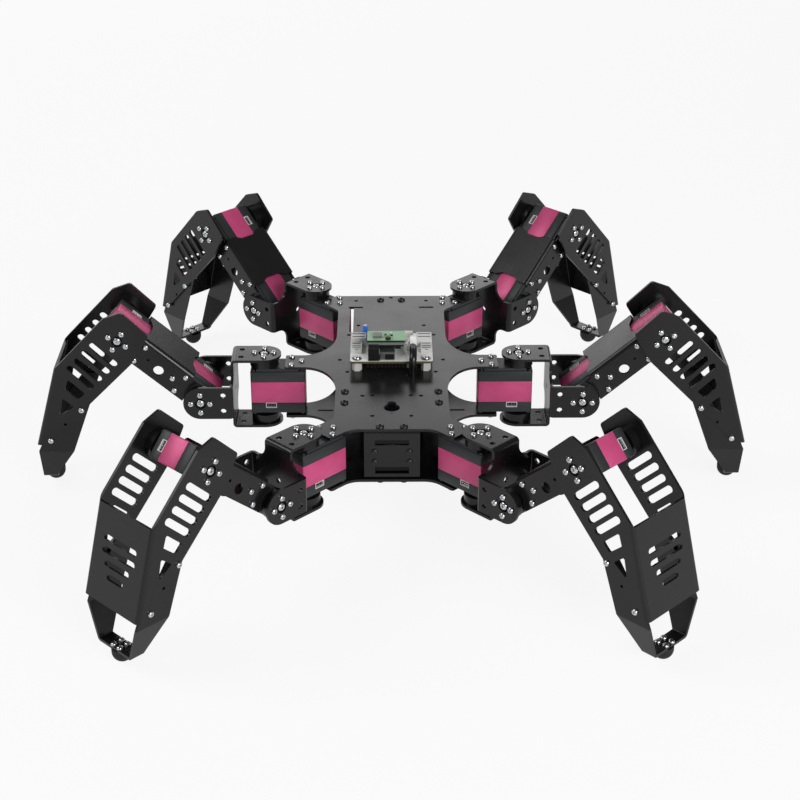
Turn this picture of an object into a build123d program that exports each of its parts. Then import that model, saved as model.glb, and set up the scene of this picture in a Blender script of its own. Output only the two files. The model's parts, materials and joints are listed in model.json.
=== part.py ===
"""Six-legged walking robot: folded sheet-metal brackets carried by eighteen bus servos.

Millimetres, +Z up. The origin is on the floor under the middle of the body, the
front faces -Y, and left and right are those of someone who looks at the front.
A leg is drawn once, pointing along +X with its coxa axis on the Z axis, and is
then placed at each corner of the body.
"""
from math import cos, hypot, radians, sin, sqrt
import os

from build123d import *

os.makedirs("parts", exist_ok=True)

# ---- Servo -------------------------------------------------------------------
servo_length = 40.0
servo_width = 20.0
servo_height = 37.5  # between the two end covers, along the output shaft
servo_axis_inset = 10.0  # shaft to the near end of the case
band_height = 16.8  # the metal middle case
parting_gap = 0.1  # joint line between the case halves
shaft_radius = 3.0
shaft_clearance = 0.05
shaft_depth = 3.5  # how far a horn's stub reaches into the case
socket_length = 8.2
socket_width = 4.4
socket_depth = 2.5
socket_inset = 4.7  # socket centre behind the shaft

# ---- Sheet metal and horns -----------------------------------------------------
sheet = 2.0
bend_inside = 1.0  # inside radius of every fold
arm_width = 25.0
horn_radius = 10.5
horn_gap = 6.75  # servo face to the sheet that the horn carries
horn_running_gap = 0.3
screw_seat_radius = 4.2  # hole in an arm round the screw at the middle of its horn
seat_gap = 0.05  # between two pieces bolted face to face in one node

# ---- Leg -------------------------------------------------------------------------
hip_offset = 45.5  # coxa axis to hip axis
femur_length = 75.8  # hip axis to knee axis
femur_angle = 41.25
knee_height = 126.0
arm_hole_radius = 2.0
arm_hole_setback = 16.5
arm_hole_spacing = 12.5
web_fillet = 9.0
frame_web_inset = 15.5  # hip or knee axis to the end of the femur frame's cover
frame_end_inset = 10.0  # hip or knee axis to the ends of the frame's sides
frame_notch_radius = 13.0
frame_recess_depth = 3.0
frame_recess_half = 12.0
frame_window_radius = 3.8
frame_window_drop = 2.0
frame_hole_radius = 1.1
frame_hole_inset = 27.0  # knee axis to the spare screw hole

# ---- Tibia shell, from the knee axis ---------------------------------------------
shin_slant = 45.0  # the side plates run down and out at this angle
shin_half_width = 19.0
shin_top = 18.7
shin_top_half = 13.0
cover_start = (47.5, -22.5)
cover_end = (64.6, -84.0)
heel_cut = 6.5
slot_count = 4
slot_length = 24.9
slot_width = 5.0
slot_start = 14.9
slot_pitch = 8.4
cover_slot_lengths = (32.5, 32.5, 24.5, 16.0)
cover_slot_width = 4.2
cover_slot_start = 20.4
cover_slot_pitch = 8.1
shin_window = ((25.9, -41.4), (37.5, -30.0), (40.3, -38.3), (31.2, -46.6))
shin_eye = ((34.9, -52.0), (42.8, -45.3), (46.0, -60.0))
shin_window_corner = 1.0
shin_hole = (42.3, -66.5)
shin_hole_radius = 1.1
shell_corner = 2.5

# ---- Foot ------------------------------------------------------------------------
foot_reach = 58.0  # knee axis to the middle of the foot, outward
foot_plate_height = 10.0  # floor to the underside of the foot plate
foot_plate_length = 10.5
foot_plate_half = 16.0
foot_fold_height = 36.0
foot_top_height = 76.0
foot_heel = 6.0  # foot plate beyond the middle of the ball
foot_waist_reach = 38.0  # inner edge of the bracket's sides at the fold
foot_shoulder_reach = 36.0  # outer edge of the bracket's sides at the top
ball_radius = 7.0

# ---- Body ------------------------------------------------------------------------
middle_axis_x = 93.3
corner_axis_x = 59.5
corner_axis_y = 123.0
rear_edge = 117.5
front_edge = 106.0
tip_reach = 15.4  # coxa axis to the square end of an arm
tip_corner = 1.5
rear_waist_x = 41.0
front_waist_x = 40.0
waist_y = 45.0
rear_bay_x = 66.0
front_bay_x = 64.0
waist_fillet = 10.0
front_fillet = 15.0
rear_fillet = 1.0
m3_radius = 1.5
mount_spacing_x = 27.0
mount_spacing_y = 31.0
mount_centre_y = -71.0
strap_slot = (11.0, 2.5)
strap_slot_x = 27.5
strap_slot_y = 95.5
front_strap_slot_y = -35.0  # bottom plate only
bay_slot_spot = (49.0, -2.6)  # bottom plate only
slit_width = 3.0
slit_start_y = 50.0
cable_hole_radius = 5.7
cable_hole_y = -74.2
cable_slot_width = 6.2
cable_slot_end_y = -64.7
pilot_hole_radius = 0.8
pilot_hole_y = -82.3
rear_hole_y = 114.0
spare_holes = ((27.5, 108.0), (25.0, 62.0), (32.0, 45.0), (38.0, 2.0), (32.0, -18.0), (20.7, -56.0))

# ---- Panels between the plates -----------------------------------------------------
panel_sheet = 1.5
panel_width = 38.5
panel_flange = 10.0
panel_edge_gap = 0.5
rear_panel_inset = 4.0
side_panel_inset = 1.5
side_panel_y = -58.0
louvre_width = 23.4
louvre_depth = 1.6
louvre_hood = 1.9  # lip to the top of the hood
louvre_lips = (10.0, -11.1)  # from mid height
louvre_drops = (2.2, 3.3)  # opening below each lip

# ---- Electronics -------------------------------------------------------------------
battery_size = (46.0, 104.0, 26.0)
battery_centre_y = 20.0
battery_corner = 4.0
board_size = (60.0, 48.0, 1.6)
board_front_y = -19.0
board_corner = 2.0
board_lift = 7.2
board_hole_inset = 5.0
standoff_across_flats = 6.0
servo_socket_size = (11.0, 5.4, 7.6)
servo_socket_count = 4
servo_socket_pitch = 6.2
servo_socket_front = 7.5  # screw centre to the first socket's middle
servo_socket_wall = 1.0
stacking_height = 11.6  # main board top to the small board's underside
small_board_depth = 16.5
small_board_thickness = 1.6
small_board_y = -3.2
small_board_gap = 1.4  # to the sockets on its left and the plug on its right
pin_header_width = 2.5
power_jack_size = (10.6, 11.0, 10.0)
usb_size = (9.0, 9.0, 6.5)
buzzer_radius = 4.6
buzzer_height = 8.0
capacitor_radius = 2.1
capacitor_height = 12.5
capacitor_gap = 1.2  # behind the last servo socket
plug_size = (6.4, 8.0, 9.0)
plug_gap = 1.3  # to the sockets on its right
plug_y = -8.0
lead_radius = 2.4
lead_hole_radius = 3.4
lead_rise = 1.0  # lead above the middle of its plug
lead_drop_y = -23.0
lead_bend = 6.0
part_gap = 0.5
header_drop = 3.0

# ---- Worked out from the sizes above -------------------------------------------------
half_servo = servo_height / 2
bend_radius = bend_inside + sheet / 2  # at the middle of the sheet
case_edge = bend_inside  # the case's edges clear the inside of a fold
half_width = servo_width / 2
fork_half = half_servo + horn_gap + sheet  # axis middle to the outside of a fork arm
web_u = hip_offset / 2  # middle of the cross bracket's web
hip_height = knee_height - femur_length * sin(radians(femur_angle))
knee_u = hip_offset + femur_length * cos(radians(femur_angle))
arm_radius = arm_width / 2
plate_top_z = hip_height + half_servo  # underside of the top plate
plate_bottom_z = hip_height - half_servo  # top of the bottom plate
deck_z = plate_top_z + sheet  # walking deck of the top plate
board_z = deck_z + board_lift
board_top_z = board_z + board_size[2]
board_centre_y = board_front_y + board_size[1] / 2
plug_x = board_size[0] / 2 - servo_socket_size[0] - plug_gap - plug_size[0] / 2
foot_side_u = knee_u + foot_reach

femur_side = Plane(
    origin=(hip_offset, 0, hip_height),
    x_dir=(cos(radians(femur_angle)), 0, sin(radians(femur_angle))),
    z_dir=(0, -1, 0),
)
knee_side = Plane(origin=(knee_u, 0, knee_height), x_dir=(1, 0, 0), z_dir=(0, -1, 0))
shin_side = Plane(
    origin=knee_side.origin,
    x_dir=(cos(radians(shin_slant)), 0, -sin(radians(shin_slant))),
    z_dir=(0, -1, 0),
)


def servo_plane(origin, case_direction):
    """Frame of a servo: Z along its shaft, X from the shaft along the case."""
    return Plane(origin=origin, x_dir=case_direction, z_dir=(0, 1, 0))


def make_servo(place):
    """Case in three pieces: end cover, metal band, end cover with the two sockets."""
    middle = servo_length / 2 - servo_axis_inset
    with BuildPart() as servo:
        with BuildSketch(place.offset(-half_servo)):
            with Locations((middle, 0)):
                Rectangle(servo_length, servo_width)
        extrude(amount=servo_height)
        chamfer(servo.edges(), case_edge)
        with BuildSketch(place.offset(-half_servo)):
            Circle(shaft_radius + shaft_clearance)
        extrude(amount=shaft_depth + shaft_clearance, mode=Mode.SUBTRACT)
        with BuildSketch(place.offset(half_servo)):
            Circle(shaft_radius + shaft_clearance)
        extrude(amount=-shaft_depth - shaft_clearance, mode=Mode.SUBTRACT)
        with BuildSketch(place.offset(band_height / 2)):
            with Locations((socket_inset, half_width), (socket_inset, -half_width)):
                Rectangle(socket_length, 2 * socket_depth)
        extrude(amount=socket_width, mode=Mode.SUBTRACT)
        for side in (-1, 1):
            with BuildSketch(place.offset(side * band_height / 2 - parting_gap / 2)):
                with Locations((middle, 0)):
                    Rectangle(2 * servo_length, 2 * servo_width)
            extrude(amount=parting_gap, mode=Mode.SUBTRACT)
    return servo


def make_horns(place):
    """Two horns, each with the stub shaft that runs in its servo's end cover."""
    back = half_servo + horn_running_gap
    with BuildPart() as horns:
        for side in (-1, 1):
            with BuildSketch(place.offset(side * back)):
                Circle(horn_radius)
            extrude(amount=side * (horn_gap - horn_running_gap))
            with BuildSketch(place.offset(side * back)):
                Circle(shaft_radius)
            extrude(amount=-side * (horn_running_gap + shaft_depth))
    return horns


def make_screw_seats(place):
    """What is cut from two arms round the screws at the middle of their horns."""
    with BuildPart() as seats:
        for side in (-1, 1):
            with BuildSketch(place.offset(side * fork_half)):
                Circle(screw_seat_radius)
            extrude(amount=-side * sheet)
    return seats


def make_fork(place, reach):
    """U of sheet round a servo: its web crosses X at reach, its arms end round at 0."""
    mid = fork_half - sheet / 2
    end = -arm_radius * reach / abs(reach)
    with BuildPart() as fork:
        with BuildSketch(place.rotated((90, 0, 0))):
            with BuildLine():
                FilletPolyline(
                    (end, -mid), (reach, -mid), (reach, mid), (end, mid),
                    radius=bend_radius,
                )
            trace(line_width=sheet)
        extrude(amount=arm_radius, both=True)
        with BuildSketch(place.offset(-fork_half)):
            Circle(arm_radius)
            with Locations((reach, 0)):
                Rectangle(2 * abs(reach), arm_width)
        extrude(amount=2 * fork_half, mode=Mode.INTERSECT)
        with BuildSketch(place.offset(-fork_half)):
            setback = arm_hole_setback * reach / abs(reach)
            with Locations((setback, 0)):
                with GridLocations(0, arm_hole_spacing, 1, 2):
                    Circle(arm_hole_radius)
        extrude(amount=2 * fork_half, mode=Mode.SUBTRACT)
    return fork


# ---- Leg pieces, drawn along +X -------------------------------------------------------
coxa_frame = Plane(origin=(0, 0, hip_height))
hip_frame = Plane(origin=(hip_offset, 0, hip_height), x_dir=(1, 0, 0), z_dir=(0, 1, 0))
knee_frame = servo_plane((knee_u, 0, knee_height), femur_side.x_dir * -1)
hip_servo_frame = servo_plane((hip_offset, 0, hip_height), femur_side.x_dir)
coxa_servo_frame = Plane(origin=(0, 0, hip_height), x_dir=(-1, 0, 0), z_dir=(0, 0, -1))

coxa_servo = make_servo(coxa_servo_frame)
hip_servo = make_servo(hip_servo_frame)
knee_servo = make_servo(knee_frame)

coxa_fork = make_fork(coxa_frame, web_u)
hip_fork = make_fork(hip_frame, web_u - hip_offset)

with BuildPart() as cross_bracket:
    add(coxa_fork.part)
    add(hip_fork.part)
    crossings = cross_bracket.edges().filter_by(Axis.X).filter_by(
        lambda edge: abs(abs(edge.center().Y) - arm_radius) < 0.01
        and abs(abs(edge.center().Z - hip_height) - arm_radius) < 0.01
        and abs(edge.center().X - web_u) < sheet
    )
    fillet(crossings, web_fillet)
    with BuildSketch(Plane.YZ.offset(web_u - sheet)):
        with Locations((0, hip_height)):
            Circle(arm_hole_radius)
    extrude(amount=2 * sheet, mode=Mode.SUBTRACT)
    for frame in (coxa_frame, hip_frame):
        add(make_horns(frame).part)
        add(make_screw_seats(frame).part, mode=Mode.SUBTRACT)

with BuildPart() as femur_frame:
    cover_line = half_width + sheet / 2
    side_line = half_servo + sheet / 2
    section = Plane(
        origin=femur_side.origin, x_dir=(0, 1, 0), z_dir=femur_side.x_dir
    )
    with BuildSketch(section):
        with BuildLine():
            FilletPolyline(
                (-side_line, -half_width), (-side_line, cover_line),
                (side_line, cover_line), (side_line, -half_width),
                radius=bend_radius,
            )
        trace(line_width=sheet)
    extrude(amount=femur_length)
    # Round notches that clear the horns at both ends.
    with BuildSketch(femur_side.offset(-fork_half)):
        with Locations((0, 0), (femur_length, 0)):
            Circle(frame_notch_radius)
            Rectangle(2 * frame_end_inset, 4 * frame_notch_radius)
    extrude(amount=2 * fork_half, mode=Mode.SUBTRACT)
    # Cover ends, with a shallow recess in the middle of each.
    top_face = Plane(
        origin=femur_side.origin, x_dir=femur_side.x_dir, z_dir=femur_side.y_dir
    )
    with BuildSketch(top_face.offset(half_width - bend_radius)):
        for end, inward in ((0, 1), (femur_length, -1)):
            edge = end + inward * frame_web_inset
            recess = edge + inward * frame_recess_depth
            flank = frame_recess_half - 2 * frame_recess_depth
            with BuildLine():
                Polyline(
                    (end, -2 * half_servo), (edge, -2 * half_servo),
                    (edge, -frame_recess_half), (recess, -flank), (recess, flank),
                    (edge, frame_recess_half), (edge, 2 * half_servo),
                    (end, 2 * half_servo), close=True,
                )
            make_face()
    extrude(amount=2 * bend_radius + sheet, mode=Mode.SUBTRACT)
    with BuildSketch(femur_side.offset(-fork_half)):
        with Locations((femur_length / 2, -frame_window_drop)):
            Circle(frame_window_radius)
        with Locations((femur_length - frame_hole_inset, 0)):
            Circle(frame_hole_radius)
    extrude(amount=2 * fork_half, mode=Mode.SUBTRACT)

cover_run = hypot(cover_end[0] - cover_start[0], cover_end[1] - cover_start[1])
cover_x = (cover_end[0] - cover_start[0]) / cover_run
cover_z = (cover_end[1] - cover_start[1]) / cover_run
cover_section = Plane(
    origin=(knee_u + cover_start[0], 0, knee_height + cover_start[1]),
    x_dir=(0, 1, 0),
    z_dir=(cover_x, 0, cover_z),
)
cover_face = Plane(
    origin=cover_section.origin, x_dir=(0, 1, 0), z_dir=cover_section.y_dir
)


def along_shin(run, across):
    """Point of the shin's own axes, as outward and up from the knee."""
    turn = radians(shin_slant)
    return (
        run * cos(turn) + across * sin(turn),
        across * cos(turn) - run * sin(turn),
    )


heel_run = (cover_end[0] - cover_end[1]) / sqrt(2) - heel_cut
with BuildPart() as tibia_shell:
    depth = cover_start[0] + 2 * shin_half_width  # the outline trims the side plates
    with BuildSketch(cover_section.offset(-cover_run - shin_top)):
        with BuildLine():
            FilletPolyline(
                (sheet / 2 - fork_half, -depth), (sheet / 2 - fork_half, -sheet / 2),
                (fork_half - sheet / 2, -sheet / 2), (fork_half - sheet / 2, -depth),
                radius=bend_radius,
            )
        trace(line_width=sheet)
    extrude(amount=2 * cover_run + shin_top)
    # Outline of the two side plates.
    with BuildSketch(knee_side.offset(-fork_half)) as shin_outline:
        with BuildLine():
            Polyline(
                along_shin(-shin_top, -shin_top_half),
                along_shin(-shin_top, shin_top_half),
                along_shin(shin_top_half - shin_half_width, shin_half_width),
                cover_start,
                cover_end,
                along_shin(heel_run, -shin_half_width),
                along_shin(shin_half_width - shin_top_half, -shin_half_width),
                close=True,
            )
        make_face()
        corners = shin_outline.vertices().filter_by(
            lambda spot: min(
                hypot(spot.X - end[0], spot.Y - end[1]) for end in (cover_start, cover_end)
            ) > 1
        )
        fillet(corners, shell_corner)
    extrude(amount=2 * fork_half, mode=Mode.INTERSECT)
    # Slots across the shin, the two windows below them and the small hole.
    with BuildSketch(shin_side.offset(-fork_half)):
        for index in range(slot_count):
            with Locations((slot_start + index * slot_pitch, 0)):
                SlotOverall(slot_length, slot_width, rotation=90)
    extrude(amount=2 * fork_half, mode=Mode.SUBTRACT)
    with BuildSketch(knee_side.offset(-fork_half)) as shin_openings:
        for window in (shin_window, shin_eye):
            with BuildLine():
                Polyline(*window, close=True)
            make_face()
        fillet(shin_openings.vertices(), shin_window_corner)
        with Locations(shin_hole):
            Circle(shin_hole_radius)
    extrude(amount=2 * fork_half, mode=Mode.SUBTRACT)
    # The cover's upper end is cut square.
    with BuildSketch(cover_section):
        Rectangle(2 * (fork_half - bend_radius), 4 * sheet)
    extrude(amount=-shin_top, mode=Mode.SUBTRACT)
    # Louvre slots in the cover.
    with BuildSketch(cover_face.offset(-2 * sheet)):
        for index, length in enumerate(cover_slot_lengths):
            down = cover_slot_start + index * cover_slot_pitch
            with Locations((0, -down)):
                SlotOverall(length, cover_slot_width)
    extrude(amount=4 * sheet, mode=Mode.SUBTRACT)
    add(make_horns(knee_frame).part)
    add(make_screw_seats(knee_frame).part, mode=Mode.SUBTRACT)

with BuildPart() as foot_bracket:
    side_mid = fork_half - 1.5 * sheet - seat_gap
    plate_mid = foot_plate_height + sheet / 2
    with BuildSketch(Plane.YZ.offset(knee_u)):
        with BuildLine():
            FilletPolyline(
                (-side_mid, foot_top_height), (-side_mid, foot_fold_height),
                (-foot_plate_half, plate_mid), (foot_plate_half, plate_mid),
                (side_mid, foot_fold_height), (side_mid, foot_top_height),
                radius=bend_radius,
            )
        trace(line_width=sheet)
    extrude(amount=2 * foot_reach)
    # Side view: wide where it is screwed to the shell, tapering to the foot plate.
    top = foot_top_height - knee_height
    fold = foot_fold_height - knee_height
    floor = foot_plate_height - knee_height
    inset = sheet + bend_inside + horn_running_gap
    heel = foot_reach + foot_heel
    toe = heel - foot_plate_length
    with BuildSketch(knee_side.offset(-fork_half)):
        with BuildLine():
            Polyline(
                (-shin_half_width * sqrt(2) - top, top), (foot_waist_reach, fold),
                (toe, floor + sheet), (toe, floor), (heel, floor), (heel, fold),
                (cover_end[0] - inset, cover_end[1]), (foot_shoulder_reach, top),
                close=True,
            )
        make_face()
    extrude(amount=2 * fork_half, mode=Mode.INTERSECT)

with BuildPart() as foot_ball:
    with BuildSketch(Plane(origin=(foot_side_u, 0, ball_radius), x_dir=(1, 0, 0), z_dir=(0, -1, 0))):
        with BuildLine():
            shoulder = foot_plate_height - ball_radius - seat_gap
            Polyline((0, -ball_radius), (0, shoulder), (ball_radius, shoulder), (ball_radius, 0))
            CenterArc((0, 0), ball_radius, 0, -90)
        make_face()
    revolve(axis=Axis((foot_side_u, 0, 0), (0, 0, 1)))

# ---- Legs in their places ---------------------------------------------------------------
leg_places = {
    "front": Location((corner_axis_x, -corner_axis_y, 0), (0, 0, -45)),
    "middle": Location((middle_axis_x, 0, 0)),
    "rear": Location((corner_axis_x, corner_axis_y, 0), (0, 0, 45)),
}
leg_pieces = {
    "coxa_servo": coxa_servo,
    "cross_bracket": cross_bracket,
    "femur_frame": femur_frame,
    "hip_servo": hip_servo,
    "knee_servo": knee_servo,
    "tibia_shell": tibia_shell,
    "foot_bracket": foot_bracket,
    "foot_ball": foot_ball,
}
for row, place in leg_places.items():
    for piece_name, piece in leg_pieces.items():
        with BuildPart() as right_piece:
            with Locations(place):
                add(piece.part)
        with BuildPart() as left_piece:
            mirror(right_piece.part, about=Plane.YZ)
        for side, copy in (("right", right_piece), ("left", left_piece)):
            copy.part.label = f"{row}_{side}_{piece_name}"
            export_step(copy.part, f"parts/{copy.part.label}.step")


# ---- Body plates ---------------------------------------------------------------------------
def arm_point(row, along, across):
    """Point of a body arm's own axes, measured from its coxa axis."""
    centre = leg_places[row].position
    turn = radians(leg_places[row].orientation.Z)
    return (
        centre.X + along * cos(turn) - across * sin(turn),
        centre.Y + along * sin(turn) + across * cos(turn),
    )


def plate_outline():
    """Right half of a body plate: three servo arms with round bays between them."""
    tip = -tip_reach
    slant = sqrt(2)
    rear_run = (rear_edge - corner_axis_y) * slant - half_width
    rear_waist = (rear_waist_x - corner_axis_x) * slant - half_width
    front_waist = (front_waist_x - corner_axis_x) * slant - half_width
    front_run = (front_edge - corner_axis_y) * slant - half_width
    bay = waist_y - half_width
    with BuildLine() as half:
        FilletPolyline(
            (0, rear_edge), arm_point("rear", rear_run, half_width),
            arm_point("rear", tip, half_width), radius=rear_fillet,
        )
        Line(arm_point("rear", tip, half_width), arm_point("rear", tip, -half_width))
        FilletPolyline(
            arm_point("rear", tip, -half_width), arm_point("rear", rear_waist, -half_width),
            (rear_waist_x, waist_y), radius=waist_fillet,
        )
        EllipticalCenterArc(
            (rear_bay_x, waist_y), rear_bay_x - rear_waist_x, bay, start_angle=180, arc_size=90
        )
        Line((rear_bay_x, half_width), arm_point("middle", tip, half_width))
        Line(arm_point("middle", tip, half_width), arm_point("middle", tip, -half_width))
        Line(arm_point("middle", tip, -half_width), (front_bay_x, -half_width))
        EllipticalCenterArc(
            (front_bay_x, -waist_y), front_bay_x - front_waist_x, bay, start_angle=90, arc_size=90
        )
        FilletPolyline(
            (front_waist_x, -waist_y), arm_point("front", front_waist, half_width),
            arm_point("front", tip, half_width), radius=waist_fillet,
        )
        Line(arm_point("front", tip, half_width), arm_point("front", tip, -half_width))
        FilletPolyline(
            arm_point("front", tip, -half_width), arm_point("front", front_run, -half_width),
            (0, -front_edge), radius=front_fillet,
        )
        Line((0, -front_edge), (0, rear_edge))
    return half


def round_tips(face):
    """Rounds the corners of the arms of a plate's outline."""
    ends = [
        arm_point(row, -tip_reach, across)
        for row in leg_places for across in (-half_width, half_width)
    ]
    fillet(
        face.vertices().filter_by(
            lambda spot: min(hypot(spot.X - end[0], spot.Y - end[1]) for end in ends) < 0.01
        ),
        tip_corner,
    )


def both_sides(*spots):
    """The given places and their mirror images."""
    return [(side * x, y) for x, y in spots for side in (-1, 1)]


board_hole_x = board_size[0] / 2 - board_hole_inset
board_hole_spots = both_sides(
    (board_hole_x, board_front_y + board_hole_inset),
    (board_hole_x, board_front_y + board_size[1] - board_hole_inset),
)
mount_spots = both_sides(
    (mount_spacing_x / 2, mount_centre_y - mount_spacing_y / 2),
    (mount_spacing_x / 2, mount_centre_y + mount_spacing_y / 2),
)
slit_end_y = strap_slot_y - strap_slot[1] / 2
slit_spot = (-strap_slot_x - slit_width, (slit_start_y + slit_end_y) / 2)

with BuildPart() as top_plate:
    with BuildSketch(Plane.XY.offset(plate_top_z)) as top_outline:
        add(plate_outline().line)
        make_face()
        round_tips(top_outline)
        mirror(about=Plane.YZ)
    extrude(amount=sheet)
    with BuildSketch(Plane.XY.offset(plate_top_z)):
        with Locations(mount_spots + both_sides(*spare_holes) + [(0, rear_hole_y)]):
            Circle(m3_radius)
        with Locations((0, cable_hole_y)):
            Circle(cable_hole_radius)
        with Locations((0, (cable_hole_y + cable_slot_end_y) / 2)):
            SlotOverall(cable_slot_end_y - cable_hole_y, cable_slot_width, rotation=90)
        with Locations((0, pilot_hole_y)):
            Circle(pilot_hole_radius)
        with Locations((plug_x, lead_drop_y)):
            Circle(lead_hole_radius)
        with Locations(both_sides((strap_slot_x, strap_slot_y))):
            Rectangle(*strap_slot)
        with Locations(slit_spot):
            Rectangle(slit_width, slit_end_y - slit_start_y)
    extrude(amount=sheet, mode=Mode.SUBTRACT)
top_plate.part.label = "top_plate"
export_step(top_plate.part, "parts/top_plate.step")

with BuildPart() as bottom_plate:
    with BuildSketch(Plane.XY.offset(plate_bottom_z)) as bottom_outline:
        add(plate_outline().line)
        make_face()
        round_tips(bottom_outline)
        mirror(about=Plane.YZ)
    extrude(amount=-sheet)
    with BuildSketch(Plane.XY.offset(plate_bottom_z)):
        with Locations(mount_spots + [(0, rear_hole_y)]):
            Circle(m3_radius)
        with Locations(slit_spot):
            Rectangle(slit_width, slit_end_y - slit_start_y)
        with Locations(
            both_sides(
                (strap_slot_x, strap_slot_y), (strap_slot_x, front_strap_slot_y), bay_slot_spot
            )
        ):
            Rectangle(*strap_slot)
    extrude(amount=-sheet, mode=Mode.SUBTRACT)
bottom_plate.part.label = "bottom_plate"
export_step(bottom_plate.part, "parts/bottom_plate.step")


# ---- Panels ----------------------------------------------------------------------------------
def make_panel(place, louvred):
    """C of sheet between the plates: X across, Y inward from its face, Z up."""
    mid = half_servo - panel_sheet / 2
    face = Plane(origin=place.origin, x_dir=place.x_dir, z_dir=place.y_dir * -1)
    with BuildPart() as panel:
        with BuildSketch(Plane(origin=place.origin, x_dir=place.y_dir, z_dir=place.x_dir)):
            with BuildLine():
                FilletPolyline(
                    (panel_flange, -mid), (panel_sheet / 2, -mid),
                    (panel_sheet / 2, mid), (panel_flange, mid), radius=bend_radius,
                )
            trace(line_width=panel_sheet)
        extrude(amount=panel_width / 2, both=True)
        if louvred:
            for height, drop in zip(louvre_lips, louvre_drops):
                rise = louvre_hood / 2
                with BuildSketch(face.offset(-2 * panel_sheet)):
                    with Locations((0, height + (rise - drop) / 2)):
                        Rectangle(louvre_width, rise + drop)
                extrude(amount=3 * panel_sheet, mode=Mode.SUBTRACT)
                hood = Plane(
                    origin=place.origin + place.z_dir * height,
                    x_dir=place.y_dir, z_dir=place.x_dir,
                )
                with BuildSketch(hood):
                    with BuildLine():
                        lip = -louvre_depth
                        Polyline(
                            (lip, 0), (lip + panel_sheet / 2, 0),
                            (panel_sheet / 2, rise), (panel_sheet / 2, louvre_hood),
                            (0, louvre_hood), close=True,
                        )
                    make_face()
                extrude(amount=louvre_width / 2, both=True)
    return panel


panel_face = front_edge - panel_edge_gap
panel_places = {
    "front_panel": Plane(
        origin=(0, -panel_face, hip_height), x_dir=(1, 0, 0), z_dir=(0, 0, 1)
    ),
    "rear_panel": Plane(
        origin=(0, rear_edge - rear_panel_inset, hip_height),
        x_dir=(-1, 0, 0), z_dir=(0, 0, 1),
    ),
}
for name, place in panel_places.items():
    end_panel = make_panel(place, louvred=name == "front_panel")
    end_panel.part.label = name
    export_step(end_panel.part, f"parts/{name}.step")

with BuildPart() as side_panels:
    side_face = front_waist_x - side_panel_inset
    add(make_panel(
        Plane(origin=(side_face, side_panel_y, hip_height), x_dir=(0, 1, 0), z_dir=(0, 0, 1)),
        louvred=False,
    ).part)
    mirror(about=Plane.YZ)
side_panels.part.label = "side_panels"
export_step(side_panels.part, "parts/side_panels.step")

# ---- Battery and electronics ---------------------------------------------------------------------
with BuildPart() as battery_pack:
    with BuildSketch(Plane.XY.offset(plate_bottom_z)):
        with Locations((0, battery_centre_y)):
            Rectangle(battery_size[0], battery_size[1])
    extrude(amount=battery_size[2])
    fillet(battery_pack.edges().filter_by(Axis.Y), battery_corner)
battery_pack.part.label = "battery_pack"
export_step(battery_pack.part, "parts/battery_pack.step")

with BuildPart() as board_standoffs:
    with BuildSketch(Plane.XY.offset(deck_z)):
        with Locations(board_hole_spots):
            RegularPolygon(standoff_across_flats / 2, 6, major_radius=False)
    extrude(amount=board_lift)
board_standoffs.part.label = "board_standoffs"
export_step(board_standoffs.part, "parts/board_standoffs.step")

with BuildPart() as controller_board:
    with BuildSketch(Plane.XY.offset(board_z)):
        with Locations((0, board_centre_y)):
            RectangleRounded(board_size[0], board_size[1], board_corner)
        with Locations(board_hole_spots):
            Circle(m3_radius, mode=Mode.SUBTRACT)
    extrude(amount=board_size[2])
controller_board.part.label = "controller_board"
export_step(controller_board.part, "parts/controller_board.step")

socket_start_y = board_front_y + board_hole_inset + servo_socket_front
socket_x = board_size[0] / 2 - servo_socket_size[0] / 2
socket_spots = both_sides(
    *((socket_x, socket_start_y + index * servo_socket_pitch) for index in range(servo_socket_count))
)
with BuildPart() as servo_sockets:
    with BuildSketch(Plane.XY.offset(board_top_z)):
        with Locations(socket_spots):
            Rectangle(servo_socket_size[0], servo_socket_size[1])
    extrude(amount=servo_socket_size[2])
    with BuildSketch(Plane.XY.offset(board_top_z + servo_socket_size[2])):
        with Locations(socket_spots):
            Rectangle(
                servo_socket_size[0] - 2 * servo_socket_wall,
                servo_socket_size[1] - 2 * servo_socket_wall,
            )
    extrude(amount=-servo_socket_size[2] + 2 * servo_socket_wall, mode=Mode.SUBTRACT)
servo_sockets.part.label = "servo_sockets"
export_step(servo_sockets.part, "parts/servo_sockets.step")

small_board_z = board_top_z + stacking_height
small_front_y = small_board_y - small_board_depth / 2
small_rear_y = small_board_y + small_board_depth / 2
small_left_x = servo_socket_size[0] - board_size[0] / 2 + small_board_gap
small_right_x = plug_x - plug_size[0] / 2 - small_board_gap
small_centre_x = (small_left_x + small_right_x) / 2
small_width = small_right_x - small_left_x
with BuildPart() as small_board:
    with BuildSketch(Plane.XY.offset(small_board_z)):
        with Locations((small_centre_x, small_board_y)):
            Rectangle(small_width, small_board_depth)
    extrude(amount=small_board_thickness)
small_board.part.label = "small_board"
export_step(small_board.part, "parts/small_board.step")

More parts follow.
